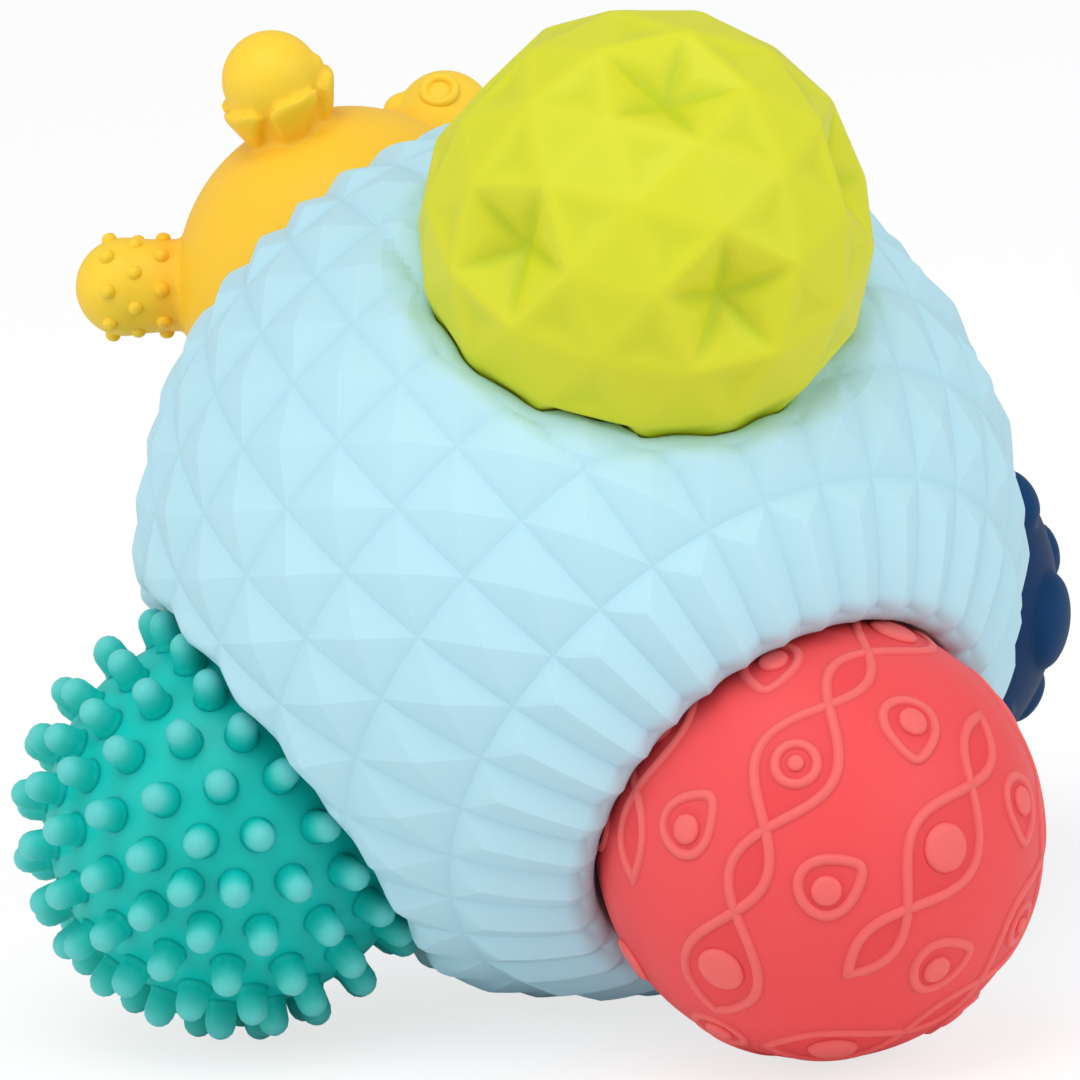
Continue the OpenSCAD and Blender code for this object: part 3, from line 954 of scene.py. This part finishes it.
knobBall = {
    "body": 31.5 * mm, "bodySteps": 32, "turn": -14,
    "voxel": 0.6 * mm, "smoothing": 4, "smoothShare": 0.5,
    "slope": 57, "knobTurns": {"dotted": -90, "collar": 0, "ringed": 90, "plain": 180},
    "reach": 50 * mm, "head": 9 * mm, "headAngles": [-15, 80], "headSteps": 11,
    "neck": 8.4 * mm, "collarNeck": 7.2 * mm, "neckRise": 2 * mm, "rootDepth": 8 * mm, "knobSides": 40,
    "feet": 4, "foot": 7 * mm, "footSides": 32,
    "footProfile": [  # shares of a foot's radius, distances from the middle of the ball
        (0, 20 * mm), (1, 20 * mm), (1, 37 * mm), (0.8, 39.1 * mm), (0.4, 39.8 * mm), (0, 40 * mm),
    ],
    "dotRows": [0.12, 0.385, 0.65], "dotsInRow": 8, "dotSunk": 0.1 * mm,
    "dot": 1.35 * mm, "dotSides": 16,
    "dotProfile": [(0, -1), (1.1, -1), (1, 0.35), (0.8, 0.72), (0.45, 0.94), (0, 1)],
    "petals": 5, "petalTurn": 62, "petalTwist": 0.3, "petalSides": 28,
    "petalWidth": 4.6 * mm, "petalRoot": 0.6, "petalSpread": 0.45,
    "petalLength": 8.2 * mm, "petalDepth": 0.6 * mm, "petalThick": 1.05 * mm, "petalOpening": 3.2 * mm,
    "petalCorner": 0.28, "petalCornerPower": 1.5,
    "petalProfile": [(0, -1), (0.7, -0.95), (0.92, -0.6), (1, 0), (0.92, 0.6), (0.7, 0.95), (0, 1)],
    "bump": 2.8 * mm, "bumpTurn": 64, "bumpRise": 9.5 * mm,
    "lobe": 4 * mm, "lobeTurn": 190, "lobeRise": 7 * mm,
    "beadSunk": 1.2 * mm, "beadSides": 24, "beadSteps": 13,
    "ring": 2.9 * mm, "ringLine": 0.9 * mm, "ringSunk": 0.35 * mm, "ringFacing": [94, -92],
    "ringSteps": 48, "ringSides": 14,
    # painted shade, orange, about the knobs' roots
    "rootShade": 0.6, "rootShadeRise": 2 * mm, "rootShadeReach": 5 * mm,
}


def leaning(slope, around):
    return turn("Z", around) @ turn("Y", slope)


def placed(obj, axes, spot=(0, 0, 0)):
    obj.data.transform(Matrix(axes.tolist()).to_4x4())
    obj.data.transform(Matrix.Translation(spot))
    return obj


def joined(name, parts):
    points, faces = [], []
    for obj in parts:
        start = len(points)
        points += [v.co[:] for v in obj.data.vertices]
        faces += [[start + i for i in p.vertices] for p in obj.data.polygons]
    dropObject(*parts)
    return newObject(name, np.array(points), faces)


def blended(obj):  # one soft skin over overlapping parts
    remesh = obj.modifiers.new("skin", "REMESH")
    remesh.mode, remesh.voxel_size = "VOXEL", knobBall["voxel"]
    smooth = obj.modifiers.new("blend", "SMOOTH")
    smooth.factor, smooth.iterations = knobBall["smoothShare"], knobBall["smoothing"]
    skin = frozenMesh(obj)
    dropObject(obj)
    return spotsOf(skin), [list(p.vertices) for p in skin.polygons]


def knob(neck):
    k = knobBall
    low, middle = k["body"] - k["rootDepth"], k["reach"] - k["head"]
    profile = [(0, low), (neck, low), (neck, k["body"] + k["neckRise"])]
    for a in np.radians(np.linspace(*k["headAngles"], k["headSteps"])):
        profile.append((k["head"] * math.cos(a), middle + k["head"] * math.sin(a)))
    return latheObject("knob", profile + [(0, k["reach"])], k["knobSides"])


def bead(size, around, rise):  # a round bump on the side of a knob
    k = knobBall
    angles = np.radians(np.linspace(-90, 90, k["beadSteps"]))
    profile = [(0, -size)] + [(size * math.cos(a), size * math.sin(a)) for a in angles[1:-1]] + [(0, size)]
    spot = direction(0, around) * (k["neck"] - k["beadSunk"]) + [0, 0, k["body"] + rise]
    return placed(latheObject("bump", profile, k["beadSides"]), np.eye(3), spot)


def petal(around):  # a flap that hugs the knob and opens a little towards its tip
    k = knobBall
    obj = latheObject("petal", k["petalProfile"], k["petalSides"])
    side, height, thick = spotsOf(obj.data).T
    corner = 1 + k["petalCorner"] * (2 * np.abs(side * height)) ** k["petalCornerPower"]
    side, height = side * corner, height * corner  # squarer than a disc
    lift = (height + 1) / 2
    side = k["petalWidth"] * side * (k["petalRoot"] + k["petalSpread"] * lift)
    far = k["collarNeck"] + thick * k["petalThick"] + k["petalOpening"] * lift
    angle = math.radians(around) + side / k["neck"] + k["petalTwist"] * (lift - 0.5)
    rise = k["body"] - k["petalDepth"] + lift * k["petalLength"]
    spots = np.stack([far * np.cos(angle), far * np.sin(angle), rise], 1)
    obj.data.vertices.foreach_set("co", spots.ravel())
    return obj


def knobRing():
    k = knobBall
    section = fullTurn(k["ringSides"])
    far, rise = k["ring"] + k["ringLine"] * np.cos(section), k["ringLine"] * np.sin(section)
    points, faces = [], []
    n = len(section)
    for i, s in enumerate(fullTurn(k["ringSteps"])):
        points += [(r * math.cos(s), r * math.sin(s), z) for r, z in zip(far, rise)]
        for m in range(n):
            a, b = i * n + m, i * n + (m + 1) % n
            c = (i + 1) % k["ringSteps"] * n
            faces.append([a, c + m, c + (m + 1) % n, b])
    facing = leaning(*k["ringFacing"])
    spot = facing @ [0, 0, k["head"] - k["ringSunk"]] + [0, 0, k["reach"] - k["head"]]
    return placed(newObject("ring", np.array(points), faces), facing, spot)


def knobDetails():  # petals and bumps to blend into the skin, and a ring to lay on it
    k = knobBall
    collar = [petal(k["petalTurn"] + i * 360 / k["petals"]) for i in range(k["petals"])]
    collar.append(bead(k["bump"], k["bumpTurn"], k["bumpRise"]))
    ring, lobe = knobRing(), bead(k["lobe"], k["lobeTurn"], k["lobeRise"])
    for obj in collar:
        placed(obj, leaning(k["slope"], k["knobTurns"]["collar"]))
    for obj in (ring, lobe):
        placed(obj, leaning(k["slope"], k["knobTurns"]["ringed"]))
    return collar + [lobe], [ring]


def knobDots():  # places and outward directions on the dotted knob
    k = knobBall
    spots, aims = [], []
    for row, share in enumerate(k["dotRows"]):
        around = (np.arange(k["dotsInRow"]) + row / 2) * 360 / k["dotsInRow"]
        rise = k["body"] + share * (k["reach"] - k["body"])
        over = max(0, rise - k["reach"] + k["head"])
        outward = direction(math.degrees(math.asin(over / k["head"])), around)
        base = np.array([0, 0, rise - over])
        spots.append(base + outward * ((k["head"] if over else k["neck"]) - k["dotSunk"]))
        aims.append(outward)
    lean = leaning(k["slope"], k["knobTurns"]["dotted"])
    return np.vstack(spots) @ lean.T, np.vstack(aims) @ lean.T


def yellowBall(material):
    k = knobBall
    aims, faces = dividedSphere(k["bodySteps"])
    parts = [newObject("body", aims * k["body"], faces)]
    for kind, around in k["knobTurns"].items():
        neck = k["collarNeck"] if kind == "collar" else k["neck"]
        parts.append(placed(knob(neck), leaning(k["slope"], around)))
    profile = [(share * k["foot"], z) for share, z in k["footProfile"]]
    for i in range(k["feet"]):
        foot = latheObject("foot", profile, k["footSides"])
        parts.append(placed(foot, leaning(180 - k["slope"], i * 360 / k["feet"])))
    soft, crisp = knobDetails()
    points, faces = openPlugHole(*blended(joined("knobs", parts + soft)), k["body"])
    skin = joined("knobSkin", [newObject("skin", points, faces)] + crisp)
    seated = seat("yellow", spotsOf(skin.data), k["turn"])
    skin.data.vertices.foreach_set("co", seated.ravel())
    dot = latheObject("dot", [(r * k["dot"], z * k["dot"]) for r, z in k["dotProfile"]], k["dotSides"])
    spots, outward = knobDots()
    obj = newObject("yellowBall", seat("yellow", spots, k["turn"]), [])
    centre = seatCentre("yellow")
    setAttribute(obj, "aim", seat("yellow", outward, k["turn"]) - centre, "FLOAT_VECTOR")
    runTree(obj, fingerTree(), {"Finger": dot, "Body": skin, "Material": material})
    dropObject(dot, skin)
    # painted shade of orange, strongest just above the body at the knobs' roots, fading up the knobs and
    # over the body
    rise = np.linalg.norm(spotsOf(obj.data) - centre, axis=1) - k["body"]
    rootShadeShare = np.clip(1 - np.abs(rise - k["rootShadeRise"]) / k["rootShadeReach"], 0, 1)
    setAttribute(obj, "hollow", rootShadeShare * k["rootShade"])
    finishBall(obj, "yellow", material)


yellowBall(vinyl(
    "yellowVinyl", (255, 212, 58), (252, 178, 34), (255, 226, 110), roughness=0.46, glow=0.04,
))


# Floor, light and camera

studio = {
    "floor": 6.0, "floorTones": [0.86, 0.9], "floorCloud": 3.0, "floorRoughness": 0.9,
    "floorGlow": 1.12, "floorGlowShare": 0.66,  # for the camera alone
    "worldLevel": 0.5,
    "lampSize": 1.4,
    "lamps": {  # power and place
        "key": (18.5, (-0.35, -0.8, 2.0)),
        "left": (8.5, (-1.7, -0.9, 0.6)),
        "right": (11, (1.5, -0.9, 0.9)),
    },
}


def buildFloor():
    s = studio["floor"]
    floor = newObject("floor", [(-s, -s, 0), (s, -s, 0), (s, s, 0), (-s, s, 0)], [(0, 1, 2, 3)])
    material, sheet, place = newMaterial("paleFloor")
    cloud = sheet.add("ShaderNodeTexNoise", {}, {
        "Vector": place, "Scale": studio["floorCloud"], "Detail": 2.0,
    })
    pale = sheet.blend(cloud, *[(tone, tone, tone, 1) for tone in studio["floorTones"]])
    paper = sheet.add("ShaderNodeBsdfPrincipled", {}, {
        "Base Color": pale, "Roughness": studio["floorRoughness"],
    })
    white = sheet.add("ShaderNodeEmission", {}, {"Color": (1, 1, 1, 1), "Strength": studio["floorGlow"]})
    seen = sheet.add("ShaderNodeLightPath", out=0)
    mixed = sheet.add("ShaderNodeMixShader", {}, {0: seen * studio["floorGlowShare"], 1: paper, 2: white})
    sheet.add("ShaderNodeOutputMaterial", {}, {"Surface": mixed})
    floor.data.materials.append(material)


def stand(name, data, axes, spot):  # a lamp or camera that looks back along its third axis
    obj = bpy.data.objects.new(name, data)
    scene.collection.objects.link(obj)
    obj.matrix_world = Matrix.Translation(spot) @ Matrix(axes.tolist()).to_4x4()
    return obj


def buildLight():
    world = bpy.data.worlds.new("studio")
    scene.world = world
    world.use_nodes = True
    level = world.node_tree.nodes["Background"]
    level.inputs["Color"].default_value = (1, 1, 1, 1)
    level.inputs["Strength"].default_value = studio["worldLevel"]
    for name, (power, spot) in studio["lamps"].items():
        lamp = bpy.data.lights.new(name, "AREA")
        lamp.energy, lamp.size = power, studio["lampSize"]
        back = unit(np.array(spot) - ballCentre)
        right = unit(np.cross([0, 0, 1], back))
        stand(name, lamp, np.column_stack([right, np.cross(back, right), back]), spot)


view = {
    "elevation": 14.236, "azimuth": 0.425, "roll": -3.914,
    "lens": 449.4, "sensor": 36, "distance": 2.4, "clipEnd": 50,
    "across": 7.2 * mm, "up": -2.24 * mm,  # the big ball's centre in the picture
}


def buildCamera():
    e, a, r = [math.radians(view[name]) for name in ("elevation", "azimuth", "roll")]
    back = np.array([math.sin(a) * math.cos(e), -math.cos(a) * math.cos(e), math.sin(e)])
    level = np.array([math.cos(a), math.sin(a), 0])
    right = math.cos(r) * level + math.sin(r) * np.cross(back, level)
    axes = np.column_stack([right, np.cross(back, right), back])
    data = bpy.data.cameras.new("camera")
    data.lens, data.sensor_width, data.clip_end = view["lens"], view["sensor"], view["clipEnd"]
    spot = ballCentre - axes @ [view["across"], view["up"], -view["distance"]]
    scene.camera = stand("camera", data, axes, spot)


buildFloor()
buildLight()
buildCamera()
scene.view_settings.view_transform = "Standard"
print("studio ready")
